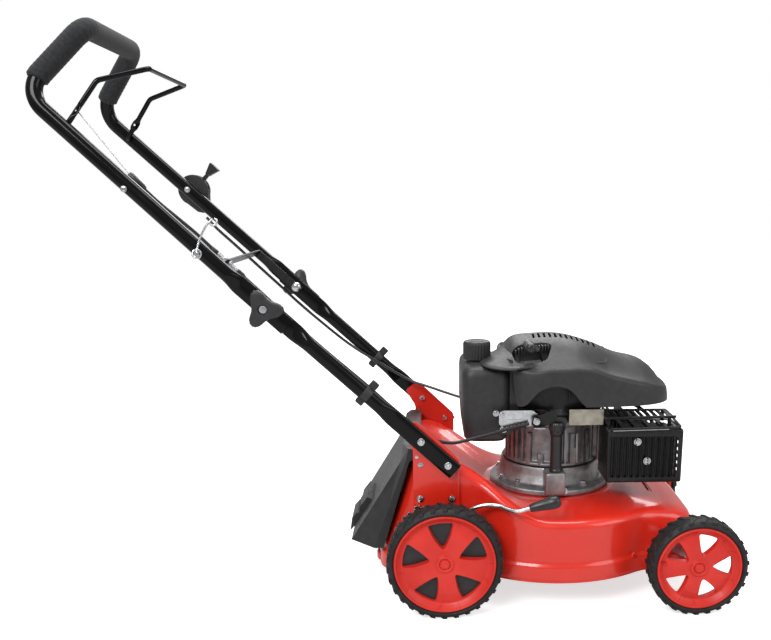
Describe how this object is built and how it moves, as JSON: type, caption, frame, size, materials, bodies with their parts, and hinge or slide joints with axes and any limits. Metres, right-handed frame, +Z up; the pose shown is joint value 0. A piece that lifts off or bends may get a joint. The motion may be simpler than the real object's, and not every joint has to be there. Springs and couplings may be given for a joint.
{
  "type": "walk-behind lawn mower",
  "caption": "Walk-behind petrol lawn mower: red pressed-steel deck, vertical-shaft engine, spoked plastic wheels and a folding tubular handle with bail and throttle.",
  "frame": {"origin": "on the ground under the middle of the mower's length and width", "axes": "+X forward, +Y to the mower's left, +Z up"},
  "size_m": [1.0526, 0.451, 0.8853],
  "materials": {
    "red_paint": "gloss red paint on pressed steel",
    "red_plastic": "moulded red plastic",
    "black_paint": "gloss black powder coat",
    "black_plastic": "fine-textured black plastic",
    "tyre_rubber": "matt moulded tyre",
    "grip_foam": "closed-cell foam with a skin",
    "zinc_steel": "zinc plated steel",
    "cast_alloy": "die-cast aluminium",
    "dark_steel": "black heat-proof paint on steel",
    "cable_jacket": "extruded black jacket"
  },
  "bodies": {
    "chassis": {"deck": "red_paint", "handle_bracket_right": "red_paint", "handle_bracket_left": "red_paint", "height_quadrant": "zinc_steel", "flap_hinge_rod": "zinc_steel", "flap_spring": "zinc_steel", "lower_handle_right": "black_paint", "lower_handle_left": "black_paint", "throttle_cable": "cable_jacket", "engine_sump": "cast_alloy", "engine_block": "cast_alloy", "cylinder_head": "cast_alloy", "spark_plug": "dark_steel", "muffler": "dark_steel", "muffler_guard": "dark_steel", "carburettor": "cast_alloy", "air_filter_box": "black_plastic", "fuel_tank": "black_plastic", "blower_housing": "black_plastic", "oil_filler_tube": "black_plastic", "control_plate": "zinc_steel", "heat_shield": "zinc_steel"},
    "fuel_cap": {"fuel_cap": "black_plastic"},
    "dipstick": {"dipstick": "black_plastic"},
    "rotor": {"crankshaft": "zinc_steel", "flywheel": "cast_alloy", "blade_adapter": "dark_steel", "blade": "dark_steel", "blade_bolt": "zinc_steel"},
    "starter_pulley": {"starter_pulley": "black_plastic"},
    "starter_handle": {"starter_handle": "black_plastic", "starter_rope": "cable_jacket"},
    "brake_lever": {"brake_lever": "dark_steel"},
    "upper_handle": {"upper_handle": "black_paint", "grip_sleeve": "grip_foam", "throttle_housing": "black_plastic", "rope_guide": "zinc_steel", "cable_strap": "dark_steel", "fold_bolt_right": "zinc_steel", "fold_bolt_left": "zinc_steel", "brake_cable": "cable_jacket"},
    "star_knob_right": {"star_knob_right": "black_plastic"},
    "star_knob_left": {"star_knob_left": "black_plastic"},
    "bail": {"bail": "black_paint", "brake_wire": "zinc_steel"},
    "throttle_lever": {"throttle_lever": "black_plastic"},
    "rear_crank": {"rear_axle": "zinc_steel", "height_lever": "zinc_steel", "lever_grip": "black_plastic"},
    "front_crank": {"front_axle": "zinc_steel"},
    "link_rod": {"link_rod": "zinc_steel"},
    "rear_wheel_right": {"rear_rim_right": "red_plastic", "rear_tyre_right": "tyre_rubber"},
    "rear_wheel_left": {"rear_rim_left": "red_plastic", "rear_tyre_left": "tyre_rubber"},
    "front_wheel_right": {"front_rim_right": "red_plastic", "front_tyre_right": "tyre_rubber"},
    "front_wheel_left": {"front_rim_left": "red_plastic", "front_tyre_left": "tyre_rubber"},
    "rear_flap": {"rear_flap": "black_plastic"}
  },
  "joints": [
    {"name": "rear_crank_turn", "type": "hinge", "parent": "chassis", "child": "rear_crank", "pos_m": [0.02892, 0, 0.105], "axis": [0, -1, 0], "range_deg": [0, 60]},
    {"name": "front_crank_turn", "type": "hinge", "parent": "chassis", "child": "front_crank", "pos_m": [0.42292, 0, 0.0927], "axis": [0, -1, 0], "range_deg": [0, 60]},
    {"name": "link_turn", "type": "hinge", "parent": "rear_crank", "child": "link_rod", "pos_m": [0.02892, 0, 0.135], "axis": [0, -1, 0], "range_deg": [-60, 0]},
    {"name": "rear_wheel_right_spin", "type": "hinge", "parent": "rear_crank", "child": "rear_wheel_right", "pos_m": [0.0549, -0.2055, 0.09], "axis": [0, 1, 0], "continuous": true},
    {"name": "rear_wheel_left_spin", "type": "hinge", "parent": "rear_crank", "child": "rear_wheel_left", "pos_m": [0.0549, 0.2055, 0.09], "axis": [0, 1, 0], "continuous": true},
    {"name": "front_wheel_right_spin", "type": "hinge", "parent": "front_crank", "child": "front_wheel_right", "pos_m": [0.4489, -0.2055, 0.0777], "axis": [0, 1, 0], "continuous": true},
    {"name": "front_wheel_left_spin", "type": "hinge", "parent": "front_crank", "child": "front_wheel_left", "pos_m": [0.4489, 0.2055, 0.0777], "axis": [0, 1, 0], "continuous": true},
    {"name": "flap_open", "type": "hinge", "parent": "chassis", "child": "rear_flap", "pos_m": [0.0129, 0, 0.242], "axis": [0, 1, 0], "range_deg": [0, 70], "stiffness_Nm_per_rad": 0.2, "springref_deg": -20.05},
    {"name": "handle_fold", "type": "hinge", "parent": "chassis", "child": "upper_handle", "pos_m": [-0.2071, 0, 0.477], "axis": [0, 1, 0], "range_deg": [0, 100], "deforming": ["brake_cable"]},
    {"name": "star_knob_right_turn", "type": "hinge", "parent": "upper_handle", "child": "star_knob_right", "pos_m": [-0.2071, -0.18, 0.477], "axis": [0, 1, 0], "continuous": true},
    {"name": "star_knob_left_turn", "type": "hinge", "parent": "upper_handle", "child": "star_knob_left", "pos_m": [-0.2071, 0.18, 0.477], "axis": [0, 1, 0], "continuous": true},
    {"name": "bail_pull", "type": "hinge", "parent": "upper_handle", "child": "bail", "pos_m": [-0.4816, 0, 0.733], "axis": [0, -1, 0], "range_deg": [0, 32], "stiffness_Nm_per_rad": 0.5, "springref_deg": -20.05, "deforming": ["brake_wire"]},
    {"name": "throttle_turn", "type": "hinge", "parent": "upper_handle", "child": "throttle_lever", "pos_m": [-0.3861, 0.182, 0.648], "axis": [0, -1, 0], "range_deg": [-20, 20]},
    {"name": "brake_lever_turn", "type": "hinge", "parent": "chassis", "child": "brake_lever", "pos_m": [0.2049, -0.111, 0.2835], "axis": [0, 0, -1], "range_deg": [0, 20]},
    {"name": "rotor_spin", "type": "hinge", "parent": "chassis", "child": "rotor", "pos_m": [0.2409, 0, 0.2], "axis": [0, 0, 1], "continuous": true},
    {"name": "fuel_cap_turn", "type": "hinge", "parent": "chassis", "child": "fuel_cap", "pos_m": [0.1129, -0.022, 0.3735], "axis": [0, 0, 1], "continuous": true},
    {"name": "dipstick_pull", "type": "slide", "parent": "chassis", "child": "dipstick", "axis": [0, 0, 1], "range_m": [0, 0.062]},
    {"name": "starter_pull", "type": "slide", "parent": "chassis", "child": "starter_handle", "axis": [-0.8999, -0.06, 0.432], "range_m": [0, 0.35], "stiffness_N_per_m": 12, "springref_m": -0.3, "deforming": ["starter_rope"]},
    {"name": "starter_pulley_turn", "type": "hinge", "parent": "chassis", "child": "starter_pulley", "pos_m": [0.2409, 0, 0.3465], "axis": [0, 0, -1], "range_deg": [0, 790]}
  ],
  "couplings": [
    {"joint": "front_crank_turn", "follows": "rear_crank_turn", "ratio": 1},
    {"joint": "link_turn", "follows": "rear_crank_turn", "ratio": -1},
    {"joint": "brake_lever_turn", "follows": "bail_pull", "ratio": 0.6},
    {"joint": "starter_pulley_turn", "follows": "starter_pull", "rad_per_m": 39.2}
  ]
}
